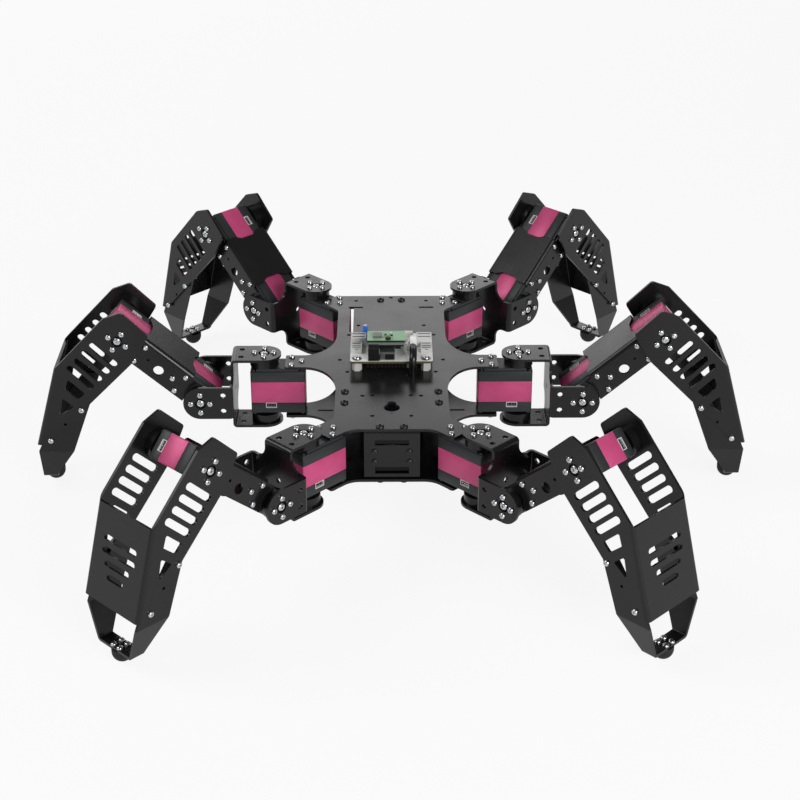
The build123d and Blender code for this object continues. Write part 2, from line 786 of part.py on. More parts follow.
jack_x = small_left_x + power_jack_size[0] / 2 + part_gap
usb_x = jack_x + (power_jack_size[0] + usb_size[0]) / 2 + part_gap
buzzer_y = board_front_y + usb_size[1] + buzzer_radius + 2 * part_gap
with BuildPart() as board_parts:
    # Header strips that carry the small board, front one short under it.
    with BuildSketch(Plane.XY.offset(board_top_z)):
        with Locations((small_centre_x, small_rear_y - pin_header_width)):
            Rectangle(small_width - part_gap, pin_header_width)
    extrude(amount=stacking_height)
    with BuildSketch(Plane.XY.offset(small_board_z)):
        with Locations((small_centre_x, small_front_y + pin_header_width)):
            Rectangle(small_width - part_gap, pin_header_width)
    extrude(amount=-header_drop)
    # Power jack with its round mouth, data socket, buzzer and capacitor.
    with BuildSketch(Plane.XY.offset(board_top_z)):
        with Locations((jack_x, board_front_y + power_jack_size[1] / 2 + part_gap)):
            Rectangle(power_jack_size[0], power_jack_size[1])
    extrude(amount=power_jack_size[2])
    with BuildSketch(Plane.XY.offset(board_top_z)):
        with Locations((usb_x, board_front_y + usb_size[1] / 2 + part_gap)):
            Rectangle(usb_size[0], usb_size[1])
    extrude(amount=usb_size[2])
    with BuildSketch(Plane.XY.offset(board_top_z)):
        with Locations((small_right_x - buzzer_radius - part_gap, buzzer_y)):
            Circle(buzzer_radius)
    extrude(amount=buzzer_height)
    socket_end_y = socket_start_y + (servo_socket_count - 0.5) * servo_socket_pitch
    capacitor_spot = (
        servo_socket_size[0] - board_size[0] / 2 - capacitor_radius,
        socket_end_y + capacitor_gap + capacitor_radius,
    )
    with BuildSketch(Plane.XY.offset(board_top_z)):
        with Locations(capacitor_spot):
            Circle(capacitor_radius)
    extrude(amount=capacitor_height)
    # White plug that the battery's lead comes out of.
    with BuildSketch(Plane.XY.offset(board_top_z)):
        with Locations((plug_x, plug_y)):
            Rectangle(plug_size[0], plug_size[1])
    extrude(amount=plug_size[2])
board_parts.part.label = "board_parts"
export_step(board_parts.part, "parts/board_parts.step")

# The lead leaves the plug, bends down over the board's edge and enters the body.
plug_front_y = plug_y - plug_size[1] / 2
lead_start = (plug_x, plug_front_y, board_top_z + plug_size[2] / 2 + lead_rise)
with BuildPart() as power_lead:
    with BuildLine() as lead_path:
        FilletPolyline(
            lead_start, (plug_x, lead_drop_y, lead_start[2]),
            (plug_x, lead_drop_y, plate_bottom_z + battery_size[2]),
            radius=lead_bend,
        )
    with BuildSketch(Plane(origin=lead_start, z_dir=(0, -1, 0))):
        Circle(lead_radius)
    sweep(path=lead_path.line)
power_lead.part.label = "power_lead"
export_step(power_lead.part, "parts/power_lead.step")
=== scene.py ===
# %% [markdown]
# # Dressing a six-legged walking robot
# The solids of this robot come from a CAD model: folded black sheet, boards, rubber
# feet and eighteen servos. This lesson gives them their looks. Sheet, boards and feet
# keep their shape, because it is right, and only get a better finish. What has detail
# that the solids leave out is modelled again: the servos, the sockets and other parts
# on the boards, and the power lead. The screws are added, as the solids have none.

# %% Load the frame
import json
from math import cos, pi, radians, sin

import bpy
from mathutils import Matrix, Vector


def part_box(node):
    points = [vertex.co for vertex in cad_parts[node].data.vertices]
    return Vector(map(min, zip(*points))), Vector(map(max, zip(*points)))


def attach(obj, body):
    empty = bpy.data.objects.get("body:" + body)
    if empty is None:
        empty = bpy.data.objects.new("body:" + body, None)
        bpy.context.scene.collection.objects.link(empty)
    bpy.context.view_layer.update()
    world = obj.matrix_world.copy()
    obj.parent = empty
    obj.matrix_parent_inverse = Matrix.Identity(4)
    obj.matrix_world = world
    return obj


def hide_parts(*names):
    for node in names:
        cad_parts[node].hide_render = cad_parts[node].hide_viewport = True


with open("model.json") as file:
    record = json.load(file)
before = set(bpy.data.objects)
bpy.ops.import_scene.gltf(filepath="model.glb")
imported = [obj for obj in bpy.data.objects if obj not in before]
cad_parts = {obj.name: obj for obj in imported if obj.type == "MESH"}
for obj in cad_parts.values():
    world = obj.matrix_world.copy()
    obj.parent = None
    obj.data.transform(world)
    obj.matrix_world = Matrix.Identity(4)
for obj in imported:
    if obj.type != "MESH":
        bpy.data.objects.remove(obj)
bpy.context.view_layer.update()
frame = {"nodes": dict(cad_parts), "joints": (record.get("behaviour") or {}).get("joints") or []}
joint_at = {joint["name"]: Vector(joint["pos_m"]) for joint in frame["joints"]}

# %% [markdown]
# ## Units and directions
# Blender works in metres and a machine shop in millimetres, so every size below is
# written in millimetres and multiplied by MM once, inside the helpers. The robot
# stands on the XY plane, its front faces -Y, and UP is +Z.

# %% Units
MM = 0.001
UP = Vector((0, 0, 1))
RIGHT = Vector((1, 0, 0))


def span(node):
    """Size of a CAD node's box, in millimetres."""
    low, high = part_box(node)
    return (high - low) / MM


servo_length, servo_width, servo_height = span("middle_right_coxa_servo")
half_servo = servo_height / 2
half_width = servo_width / 2
sheet = span("top_plate").z
fork_half = span("middle_right_cross_bracket").z / 2
frame_half = span("middle_right_femur_frame").y / 2
print(f"servo {servo_length:.1f} x {servo_width:.1f} x {servo_height:.1f} mm")
print(f"sheet {sheet:.1f} mm")

# %% [markdown]
# ## The camera
# A robot half a metre wide is best seen from a little above, from far enough away that
# its legs don't spread. So the camera stands over a metre in front with a long lens.

# %% Camera
degrees_down, degrees_right = 27.29, 0.443
camera = bpy.data.objects.new("camera", bpy.data.cameras.new("camera"))
bpy.context.scene.collection.objects.link(camera)
camera.data.lens = 80.12
camera.data.sensor_width = 36
camera.location = (-0.0028, -1.1759, 0.6711)
camera.rotation_euler = (radians(90 - degrees_down), 0, radians(-degrees_right))
bpy.context.scene.camera = camera
print("camera", tuple(round(value, 3) for value in camera.location))

# %% [markdown]
# ## Helpers for modelling
# Each piece is made as by hand: add a primitive, choose faces or edges, and bevel,
# inset, extrude or cut them. The helpers do the bookkeeping. An operator works on
# whatever is selected, so each one starts by deselecting everything.


# %% Modelling helpers
NEAR = 0.01


def clear_selection():
    """Back to object mode with nothing selected."""
    if bpy.context.object and bpy.context.object.mode != "OBJECT":
        bpy.ops.object.mode_set(mode="OBJECT")
    bpy.ops.object.select_all(action="DESELECT")


def activate(piece):
    """Makes the piece the only one selected."""
    clear_selection()
    piece.select_set(True)
    bpy.context.view_layer.objects.active = piece
    return piece


def settle(name):
    """Names the new primitive and moves its place, turn and size into its mesh."""
    piece = bpy.context.object
    piece.name = name
    bpy.ops.object.transform_apply(location=True, rotation=True, scale=True)
    return piece


def box(name, size, centre):
    """A box to start from, in millimetres."""
    clear_selection()
    bpy.ops.mesh.primitive_cube_add(
        size=1, location=Vector(centre) * MM, scale=Vector(size) * MM
    )
    return settle(name)


def rod(name, radius, length, centre, sides=24, turn=(0, 0, 0)):
    """A cylinder to start from, along Z before it is turned, in millimetres."""
    clear_selection()
    bpy.ops.mesh.primitive_cylinder_add(
        vertices=sides, radius=radius * MM, depth=length * MM,
        location=Vector(centre) * MM, rotation=turn,
    )
    return settle(name)


def choose(piece, faces=None, edges=None):
    """Edit mode, with the faces or edges selected that pass a test on their place in mm."""
    activate(piece)
    bpy.ops.object.mode_set(mode="EDIT")
    bpy.ops.mesh.select_mode(type="FACE" if faces else "EDGE")
    bpy.ops.mesh.select_all(action="DESELECT")
    bpy.ops.object.mode_set(mode="OBJECT")
    mesh = piece.data
    if faces:
        for face in mesh.polygons:
            face.select = bool(faces(face.center / MM, face.normal))
    else:
        for edge in mesh.edges:
            start, end = (mesh.vertices[index].co / MM for index in edge.vertices)
            edge.select = bool(edges(start, end))
    bpy.ops.object.mode_set(mode="EDIT")


def bevel(piece, width, segments, edges):
    """Rounds the edges that pass the test."""
    choose(piece, edges=edges)
    bpy.ops.mesh.bevel(offset=width * MM, segments=segments, affect="EDGES")
    bpy.ops.object.mode_set(mode="OBJECT")
    return piece


def every_edge(start, end):
    """A test that all edges pass."""
    return True


def rim_at(height):
    """A test that the edges round the top of a piece pass, at a height in millimetres."""
    return lambda start, end: min(start.z, end.z) > height - NEAR


def sink(piece, wall, depth, faces):
    """Insets the faces that pass the test by a wall and pushes what is left inwards."""
    choose(piece, faces=faces)
    bpy.ops.mesh.inset(thickness=wall * MM, use_individual=True)
    bpy.ops.mesh.extrude_region_shrink_fatten(
        TRANSFORM_OT_shrink_fatten={"value": -depth * MM}
    )
    bpy.ops.object.mode_set(mode="OBJECT")
    return piece


def slice_at(piece, height, keep_above):
    """Cuts the piece level at a height, closes it and keeps one half."""
    choose(piece, faces=lambda centre, normal: True)
    bpy.ops.mesh.bisect(
        plane_co=(0, 0, height * MM), plane_no=(0, 0, 1), use_fill=True,
        clear_inner=keep_above, clear_outer=not keep_above,
    )
    bpy.ops.object.mode_set(mode="OBJECT")
    return piece


def cut(piece, tool):
    """Takes the tool's shape out of the piece, and the tool away."""
    modifier = piece.modifiers.new("cut", "BOOLEAN")
    modifier.operation = "DIFFERENCE"
    modifier.object = tool
    activate(piece)
    bpy.ops.object.modifier_apply(modifier="cut")
    bpy.data.objects.remove(tool)
    return piece


def join(name, pieces):
    """Makes several pieces one object."""
    clear_selection()
    for piece in pieces:
        piece.select_set(True)
    bpy.context.view_layer.objects.active = pieces[0]
    bpy.ops.object.join()
    pieces[0].name = name
    return pieces[0]


def soften(piece, angle=35):
    """Smooth shading, apart from the edges that are sharper than the angle."""
    activate(piece)
    bpy.ops.object.shade_smooth_by_angle(angle=radians(angle))
    return piece


def paint(piece, material):
    """Gives the whole piece one material."""
    piece.data.materials.clear()
    piece.data.materials.append(material)
    return piece


def block(material, size, centre, rounding=0.2):
    """A small box with broken edges and its material, for the parts on the boards."""
    return paint(bevel(box("block", size, centre), rounding, 1, every_edge), material)


def place_at(point, along, out):
    """Matrix that takes X to the direction along, Z to out, and the origin to a point."""
    z_axis = Vector(out).normalized()
    x_axis = (Vector(along) - z_axis * z_axis.dot(along)).normalized()
    turn = Matrix((x_axis, z_axis.cross(x_axis), z_axis)).transposed().to_4x4()
    return Matrix.Translation(point) @ turn


def copies(master, name, places):
    """One object of copies of a finished piece, with its own mesh, at each place."""
    made = []
    for place in places:
        copy = master.copy()
        copy.data = master.data.copy()
        copy.data.transform(place)
        bpy.context.scene.collection.objects.link(copy)
        made.append(copy)
    return join(name, made)


def dress(piece, body, slot, material, *nodes):
    """Gives a piece its body, its finish and the nodes it replaces. The slot is not used."""
    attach(piece, body)
    if material:
        paint(piece, material)
    if nodes:
        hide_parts(*nodes)
    return piece


print("helpers ready")

# %% [markdown]
# ## Where the legs are
# Each leg turns about three joints: swing at the body, lift at the hip and the knee.
# The frame gives their places, so the direction of every leg and of its thigh
# follows from them, and the same few lines place all the servos and screws.


# %% Legs
def read_leg(row, side):
    """Joint places and directions of one leg."""
    name = f"{row}_{side}"
    coxa, hip, knee = (joint_at[f"{name}_{part}"] for part in ("swing", "lift", "knee"))
    outward = (hip - coxa).normalized()
    across = UP.cross(outward) * (1 if side == "right" else -1)
    return {
        "name": name, "coxa": coxa, "hip": hip, "knee": knee,
        "outward": outward, "across": across, "thigh": (knee - hip).normalized(),
    }


legs = [read_leg(row, side) for row in ("front", "middle", "rear") for side in ("right", "left")]
for leg in legs:
    print(leg["name"], "points", tuple(round(value, 2) for value in leg["outward"]))

# %% [markdown]
# ## Colours and nodes
# Colours are picked as the hex values of a screen, but a shader works in linear light,
# so one function turns the one into the other. A second starts a material from the
# plain shader, and a third adds a node with its settings and links. Every material
# below is built from these three.


# %% Material helpers
def linear(hex_colour):
    """A screen colour such as c8c8c8 in the linear values that a shader takes."""
    parts = [int(hex_colour[i:i + 2], 16) / 255 for i in (0, 2, 4)]
    bent = [v / 12.92 if v <= 0.04045 else ((v + 0.055) / 1.055) ** 2.4 for v in parts]
    return (*bent, 1)


def start_material(name, colour, roughness, metallic=0.0, **settings):
    """A new material, its node tree and its shader, with the plain values set."""
    material = bpy.data.materials.new(name)
    material.use_nodes = True
    tree = material.node_tree
    shader = tree.nodes["Principled BSDF"]
    shader.inputs["Base Color"].default_value = linear(colour)
    shader.inputs["Roughness"].default_value = roughness
    shader.inputs["Metallic"].default_value = metallic
    for socket, value in settings.items():
        shader.inputs[socket.replace("_", " ")].default_value = value
    return material, tree, shader


def add_node(tree, kind, inputs=None, **settings):
    """Adds a node, sets its properties, and sets or links its inputs by name or number."""
    node = tree.nodes.new(kind)
    for name, value in settings.items():
        setattr(node, name, value)
    for key, value in (inputs or {}).items():
        if isinstance(value, bpy.types.NodeSocket):
            tree.links.new(value, node.inputs[key])
        else:
            node.inputs[key].default_value = value
    return node


def grain(tree, grain_mm, detail=2.0):
    """Noise whose lumps are about grain_mm across, from the piece's own coordinates."""
    place = add_node(tree, "ShaderNodeTexCoord")
    return add_node(
        tree, "ShaderNodeTexNoise",
        {"Vector": place.outputs["Object"], "Scale": 1 / (grain_mm * MM), "Detail": detail},
    ).outputs["Fac"]


def spread(tree, source, low, high):
    """Maps a noise, which lies mostly between 0.3 and 0.7, to low and high."""
    return add_node(
        tree, "ShaderNodeMapRange",
        {"Value": source, "From Min": 0.3, "From Max": 0.7, "To Min": low, "To Max": high},
    ).outputs["Result"]


def tint(tree, source, first, second):
    """Colour that goes from one hex value to another as the source goes from 0.3 to 0.7."""
    ramp = add_node(tree, "ShaderNodeValToRGB", {"Fac": source})
    for element, place, colour in zip(ramp.color_ramp.elements, (0.3, 0.7), (first, second)):
        element.position = place
        element.color = linear(colour)
    return ramp.outputs["Color"]


def emboss(tree, shader, source, height_mm, strength=1.0):
    """Raises and lowers the surface by the source."""
    bump = add_node(
        tree, "ShaderNodeBump",
        {"Height": source, "Distance": height_mm * MM, "Strength": strength},
    )
    tree.links.new(bump.outputs["Normal"], shader.inputs["Normal"])


def link(tree, source, shader, socket):
    """Lets a source drive one input of the shader."""
    tree.links.new(source, shader.inputs[socket])


print("material helpers ready")

# %% [markdown]
# ## Black sheet
# The brackets and plates are 2 mm aluminium sheet, blasted and anodised black. The
# blasting leaves a fine even grain and the oxide a smooth skin, so the eye sees a deep
# black that carries a soft broad reflection, paler where the sheet faces the light at
# a low angle. A real blast grain of 0.05 mm is too fine to show, so it is drawn at
# 0.6 mm, and a second noise of 25 mm varies the gloss as handling does.


# %% Black anodised sheet
def anodised_sheet(name, colour, rubbed, roughness):
    """Anodised metal: a fine grain, and soft patches in its colour and gloss."""
    material, tree, shader = start_material(name, colour, roughness, IOR=1.42)
    fine, broad = grain(tree, 0.6), grain(tree, 25, 3)
    link(tree, tint(tree, broad, colour, rubbed), shader, "Base Color")
    link(tree, spread(tree, broad, roughness - 0.03, roughness + 0.04), shader, "Roughness")
    emboss(tree, shader, fine, 0.012, 0.2)
    return material


black_sheet = anodised_sheet("black_anodised_sheet", "111111", "161616", 0.24)
print(black_sheet.name)

# %% [markdown]
# ## Servo case
# The end covers are glass-filled nylon, moulded in a tool with an eroded finish, which
# gives a matt grain of about 0.2 mm, drawn at 0.5 mm. The middle case is aluminium
# that carries the heat away, brushed and then dyed raspberry in the anodising bath. A
# dye layer over metal looks partly metallic: bright where it mirrors a light, deep
# elsewhere. The moulded finish and the plated one serve for the small parts too: black
# oxide hides the steel of a screw, so it is built like black plastic.


# %% Servo materials
def dyed_band():
    """Dyed metal: two noises, a fine one for the brushing and a broad one for the dye."""
    material, tree, shader = start_material("raspberry_anodised_aluminium", "d2507f", 0.38, 0.2)
    fine, broad = grain(tree, 0.4), grain(tree, 12)
    link(tree, tint(tree, broad, "c9487b", "d15184"), shader, "Base Color")
    link(tree, spread(tree, fine, 0.34, 0.43), shader, "Roughness")
    emboss(tree, shader, fine, 0.01, 0.3)
    return material


def moulded(name, dark, pale, roughness, grain_mm=0.5, ior=1.5, height_mm=0.01, strength=0.3):
    """Moulded plastic or a dull coating: a fine grain in its colour, gloss and surface."""
    material, tree, shader = start_material(name, pale, roughness, IOR=ior)
    fine = grain(tree, grain_mm)
    link(tree, tint(tree, fine, dark, pale), shader, "Base Color")
    link(tree, spread(tree, fine, roughness - 0.05, roughness + 0.05), shader, "Roughness")
    emboss(tree, shader, fine, height_mm, strength)
    return material


def plated(name, dark, pale, roughness, grain_mm=0.3):
    """Bare or plated metal, with the faint mottling of its plating."""
    material, tree, shader = start_material(name, pale, roughness, 1.0)
    fine = grain(tree, grain_mm)
    link(tree, tint(tree, fine, dark, pale), shader, "Base Color")
    link(tree, spread(tree, fine, roughness - 0.04, roughness + 0.05), shader, "Roughness")
    return material


servo_cover = moulded(
    "black_glass_filled_nylon", "232628", "2a2d2f", 0.45, ior=1.47, height_mm=0.02, strength=0.4
)
servo_band = dyed_band()
white_nylon = moulded("white_nylon_connector", "cacac8", "d6d6d4", 0.4)
# Painted shade: this black stands for the shade in the hollows of the white sockets.
shade_black = moulded("painted_shade_black", "101112", "16181a", 0.5)
tinned_pin = plated("tinned_brass_pin", "b9b9b4", "d2d2cd", 0.25)
zinc_screw = plated("bright_zinc_plated_steel", "c2c4c6", "dcdee0", 0.22)
black_screw = moulded("black_oxide_steel", "141414", "1c1c1c", 0.3)
print(servo_cover.name, servo_band.name)

# %% [markdown]
# ## One servo
# The servo is a rounded brick in three slices, held together by screws at its
# corners. So one box is rounded all over first and then cut level into cover, band and
# cover, which keeps the corners in line, and each slice gets its own parting edge. The
# end of a cover is a lid that steps in all round, and whose corners are cut away for
# the screws. The lid is a second box, whose root stands in the slice.

# %% Servo slices
band_half = 8.4
parting_gap = 0.1
case_rounding = 1.0
edge_rounding = 0.25
lid_height = 2.2
lid_root = 0.4
lid_step = 0.7
lid_rounding = 0.6
notch_radius = 2.7
corner_inset = 2.3
case_middle = servo_length / 2 - half_width
corners = [
    (x, y)
    for x in (corner_inset - half_width, servo_length - half_width - corner_inset)
    for y in (corner_inset - half_width, half_width - corner_inset)
]


def servo_brick():
    """The whole servo as one rounded box, whose shaft stands on the Z axis."""
    brick = box("brick", (servo_length, servo_width, servo_height), (case_middle, 0, 0))
    return bevel(brick, case_rounding, 3, every_edge)


def part_edge(piece, height):
    """Breaks the sharp edge that a level cut leaves."""
    return bevel(
        piece, edge_rounding, 2,
        lambda start, end: max(abs(start.z - height), abs(end.z - height)) < NEAR,
    )


def cover(end):
    """The slice above the band, or below it where end is -1, with its stepped lid."""
    parting = (band_half + parting_gap) * end
    shoulder = (half_servo - lid_height) * end
    shell = slice_at(servo_brick(), parting, end > 0)
    shell = slice_at(shell, shoulder, end < 0)
    part_edge(shell, parting)
    part_edge(shell, shoulder)
    lid = box(
        "lid", (servo_length - 2 * lid_step, servo_width - 2 * lid_step, lid_height + lid_root),
        (case_middle, 0, end * (half_servo - lid_height / 2 - lid_root / 2)),
    )
    bevel(lid, lid_rounding, 2, every_edge)
    for x, y in corners:
        cut(lid, rod("notch", notch_radius, 3 * lid_height, (x, y, end * half_servo), sides=20))
    return join("cover", [shell, lid])


middle = slice_at(slice_at(servo_brick(), -band_half, True), band_half, False)
for edge_height in (-band_half, band_half):
    part_edge(middle, edge_height)
covers = [cover(end) for end in (1, -1)]
print("band", len(middle.data.polygons), "faces, cover", len(covers[0].data.polygons))

# %% [markdown]
# ## Sockets and case screws of the servo
# The cables plug into white three-pin sockets in the upper cover: one on either side,
# and one on the short end by the shaft. The shell of a socket is a box whose outer face
# is inset and pushed in, and the pins stand before a black sheet at its floor, which is
# painted shade for the depth of the hollow. The case screws sit on the shoulder of the
# cover, in the cut-away corners of its lid.

# %% Servo fittings
socket_size = (8.2, 2.4, 4.3)
socket_offset, socket_level = 4.7, 10.6
socket_sunk = 0.15
socket_play = 0.1
socket_wall, socket_depth = 0.55, 1.9
shade_sheet_size, shade_sheet_depth = (6.9, 0.3, 3.0), 1.65
pin_size, pin_depth, pin_pitch = (0.6, 1.3, 0.6), 0.9, 2.0
pin_rounding, pin_tip = 0.15, 0.4
case_screw_radius, case_screw_height = 1.75, 1.5
case_screw_root, case_screw_rim = 0.1, 0.5
hexagon_radius, hexagon_length = 0.8, 1.2


def turned(piece, angle):
    """Turns a piece about the servo's shaft."""
    piece.rotation_euler.z = angle
    activate(piece)
    bpy.ops.object.transform_apply(location=False, rotation=True, scale=False)
    return piece


def socket(offset, angle):
    """One socket in the +Y face, at an offset along it, turned about the shaft."""
    length, depth, height = socket_size
    mouth = half_width - socket_sunk
    shell = box("shell", socket_size, (offset, mouth - depth / 2, socket_level))
    sink(shell, socket_wall, socket_depth, lambda place, normal: normal.y > 0.9)
    # The black sheet at the floor of the socket is painted shade for its hollow.
    shade_sheet = box("shade_sheet", shade_sheet_size, (offset, mouth - shade_sheet_depth, socket_level))
    parts = [paint(shell, white_nylon), paint(shade_sheet, shade_black)]
    for step in (-1, 0, 1):
        x = offset + step * pin_pitch
        pin = box("pin", pin_size, (x, mouth - pin_depth, socket_level))
        bevel(pin, pin_rounding, 1, lambda start, end: min(start.y, end.y) > mouth - pin_tip)
        parts.append(paint(pin, tinned_pin))
    recess = box(
        "recess", (length + socket_play, 2 * (depth + socket_sunk), height + socket_play),
        (offset, half_width, socket_level),
    )
    cut(covers[0], turned(recess, angle))
    return turned(join("socket", parts), angle)


def case_screw(x, y, end):
    """A small screw on the shoulder of the cover, in the cut-away corner of its lid."""
    top = half_servo - lid_height + case_screw_height
    length = case_screw_height + case_screw_root
    head = rod("head", case_screw_radius, length, (x, y, end * (top - length / 2)), sides=14)
    bevel(
        head, case_screw_rim, 2,
        lambda start, other: min(start.z * end, other.z * end) > top - NEAR,
    )
    hexagon = rod("hexagon", hexagon_radius, hexagon_length, (x, y, end * top), sides=6)
    return cut(paint(head, black_screw), hexagon)


fittings = [
    socket(offset, angle)
    for offset, angle in ((socket_offset, 0), (-socket_offset, pi), (0, pi / 2))
]
fittings += [case_screw(x, y, end) for x, y in corners for end in (1, -1)]
for piece in covers:
    piece.data.materials.append(servo_cover)
middle.data.materials.append(servo_band)
servo_model = join("servo_model", [*covers, middle, *fittings])
soften(servo_model, 30)
print("servo", len(servo_model.data.polygons), "faces")

# %% [markdown]
# ## Eighteen servos
# The same servo sits in three places on each leg: upside down in the body for the
# swing, and back to back in the thigh for hip and knee. Every copy gets its own mesh.

# %% Place the servos
for leg in legs:
    name = leg["name"]
    seats = {
        "coxa": (place_at(leg["coxa"], -leg["outward"], -UP), "chassis"),
        "hip": (place_at(leg["hip"], leg["thigh"], leg["across"]), f"{name}_femur"),
        "knee": (place_at(leg["knee"], -leg["thigh"], leg["across"]), f"{name}_femur"),
    }
    for joint, (seat, body) in seats.items():
        node = f"{name}_{joint}_servo"
        dress(copies(servo_model, f"{node}_case", [seat]), body, "servo_case", None, node)
bpy.data.objects.remove(servo_model)
print("18 servos placed")

# %% [markdown]
# ## Screws
# Two kinds hold the robot together: bright pan heads with a cross recess wherever a
# servo or horn is fixed, and black button heads with a hexagon on the body plates.
# Hundreds of them are seen, so each has a few dozen faces: a short cylinder, its rim
# bevelled into a dome, and the recess cut in.


# %% Screw heads
def pan_head(name, radius, height):
    """Pan head with a cross recess, seated on the plane Z = 0."""
    head = rod(name, radius, height, (0, 0, height / 2), sides=14)
    bevel(head, radius * 0.5, 3, rim_at(height))
    reach, wide = radius * 0.8, radius * 0.2
    cut(head, box("slot", (reach, wide, height), (0, 0, height)))
    cut(head, box("cross", (wide, reach, height), (0, 0, height)))
    return soften(paint(head, zinc_screw), 50)


def button_head(name, radius, height):
    """Button head with a hexagon recess, seated on the plane Z = 0."""
    head = rod(name, radius, height, (0, 0, height / 2), sides=16)
    bevel(head, height * 0.8, 2, rim_at(height))
    cut(head, rod("hexagon", radius * 0.4, height, (0, 0, height), sides=6))
    return soften(paint(head, black_screw), 50)


pan_screw = pan_head("pan_screw", 2.15, 1.7)
horn_screw = pan_head("horn_screw", 3.0, 2.6)
button_screw = button_head("button_screw", 2.9, 1.6)
panel_screw = button_head("panel_screw", 2.2, 1.3)
masters = (pan_screw, horn_screw, button_screw, panel_screw)
print([len(master.data.polygons) for master in masters], "faces")

# %% [markdown]
# ## Where the screws go
# Screws are placed by the joints. Four sit on a 14 mm circle round each horn, with a
# large one in the middle, in the hole that the arm leaves for it. Others hold the servo
# cases to the thigh and the plates, the foot bracket to the shin and the foot to its
# bracket. Their spots are in millimetres from the joint, along the part and across it.

# %% Place the screws
horn_ring = 7.0
horn_face = fork_half - sheet
knee_turn = radians(31)


def ring(centre, first, second, turn):
    """Four places round an axis, from a first direction turned towards a second."""
    angles = [turn + quarter * pi / 2 for quarter in range(4)]
    return [centre + (first * cos(a) + second * sin(a)) * horn_ring * MM for a in angles]


def joint_screws(centre, first, out, turn=0.0):
    """Places of the small screws and of the middle one on both arms of a joint."""
    small, large = [], []
    second = UP if abs(out.z) < 0.5 else out.cross(first)
    for side in (1, -1):
        face = out * side
        small += [
            place_at(point + face * fork_half * MM, first, face)
            for point in ring(centre, first, second, turn)
        ]
        large.append(place_at(centre + face * horn_face * MM, first, face))
    return small, large


def both_faces(centre, along, across, out, half, spots):
    """Places at spots (along, across) in millimetres, on both faces of a part."""
    return [
        place_at(centre + (along * a + across * b + out * side * half) * MM, along, out * side)
        for side in (1, -1)
        for a, b in spots
    ]


def fit_screws(name, body, small, large=()):
    """One object of pan heads at all these places, which rides on the body."""
    made = [copies(pan_screw, f"{name}_pan", small)]
    if large:
        made.append(copies(horn_screw, f"{name}_middle", large))
    return dress(join(name, made), body, None, None)


hip_screws = [(19.5, 6.8), (19.5, -6.8), (26.5, 0)]
knee_screws = [(19.5, 6.8), (19.5, -6.8)]
shin_screws = [(29.7, -54.8), (54.0, -79.9)]
plate_screws = [(-20.0, 6.9), (-20.0, -6.9), (-27.3, 0)]
foot_screws = [(x, y) for x in (-2.3, 3.9) for y in (-3.1, 3.1)]
plate_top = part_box("top_plate")[1].z / MM
plate_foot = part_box("bottom_plate")[0].z / MM

chassis_places = []
for leg in legs:
    name, outward, across, thigh = (leg[key] for key in ("name", "outward", "across", "thigh"))
    under = across.cross(thigh)
    small, large = joint_screws(leg["coxa"], outward, UP)
    more, extra = joint_screws(leg["hip"], outward, across)
    fit_screws(f"{name}_coxa_screws", f"{name}_coxa", small + more, large + extra)
    small = both_faces(leg["hip"], thigh, under, across, frame_half, hip_screws)
    small += both_faces(leg["knee"], -thigh, under, across, frame_half, knee_screws)
    fit_screws(f"{name}_femur_screws", f"{name}_femur", small)
    small, large = joint_screws(leg["knee"], outward, across, knee_turn)
    small += both_faces(leg["knee"], outward, UP, across, fork_half, shin_screws)
    foot_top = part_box(f"{name}_foot_bracket")[0].z + sheet * MM
    ball = sum(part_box(f"{name}_foot_ball"), Vector()) / 2
    foot = Vector((ball.x, ball.y, foot_top))
    small += [
        place_at(foot + (outward * a + across * b) * MM, outward, UP) for a, b in foot_screws
    ]
    fit_screws(f"{name}_tibia_screws", f"{name}_tibia", small, large)
    for a, b in plate_screws:
        spot = leg["coxa"] + (outward * a + across * b) * MM
        for height, face in ((plate_top, UP), (plate_foot, -UP)):
            chassis_places.append(place_at(Vector((spot.x, spot.y, height * MM)), outward, face))
fit_screws("plate_screws", "chassis", chassis_places)
print(len(chassis_places), "screws hold the coxa servos")

# %% [markdown]
# ## Black screws of the body
# The plates and the front panel have black button heads, which hardly show on the black
# sheet, so they only catch the light. The louvres stand out from the panel, and its
# screws sit on the flat face behind their lips.

# %% Black screws
deck_spots = [(8.2, 109.5), (8.2, -102.6), (33.2, -49.5), (33.2, -66.5)]
panel_spots = [(12, 78.9), (12, 71.0)]
louvre_depth = 1.6
panel_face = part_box("front_panel")[0].y + louvre_depth * MM
black_places = [
    place_at(Vector((side * x * MM, y * MM, height * MM)), RIGHT, face)
    for x, y in deck_spots
    for side in (1, -1)
    for height, face in ((plate_top, UP), (plate_foot, -UP))
]
panel_places = [
    place_at(Vector((side * x * MM, panel_face, z * MM)), RIGHT, Vector((0, -1, 0)))
    for x, z in panel_spots
    for side in (1, -1)
]
heads = [
    copies(button_screw, "deck_heads", black_places),
    copies(panel_screw, "panel_heads", panel_places),
]
dress(join("body_button_screws", heads), "chassis", None, None)
for master in masters:
    bpy.data.objects.remove(master)
print(len(black_places) + len(panel_places), "black screws")

# %% [markdown]
# ## What stands on the boards
# The controller carries moulded sockets for the servo cables, a power jack, a data
# socket, a buzzer and a capacitor, and a small green board on pin headers. All are
# small blocks and cans with broken edges, so one helper makes a block with its finish.
# Each finish is moulded or plated, and only the boards need a new one: solder mask on
# their flat faces and bare laminate on their edges, told apart by the face's normal.


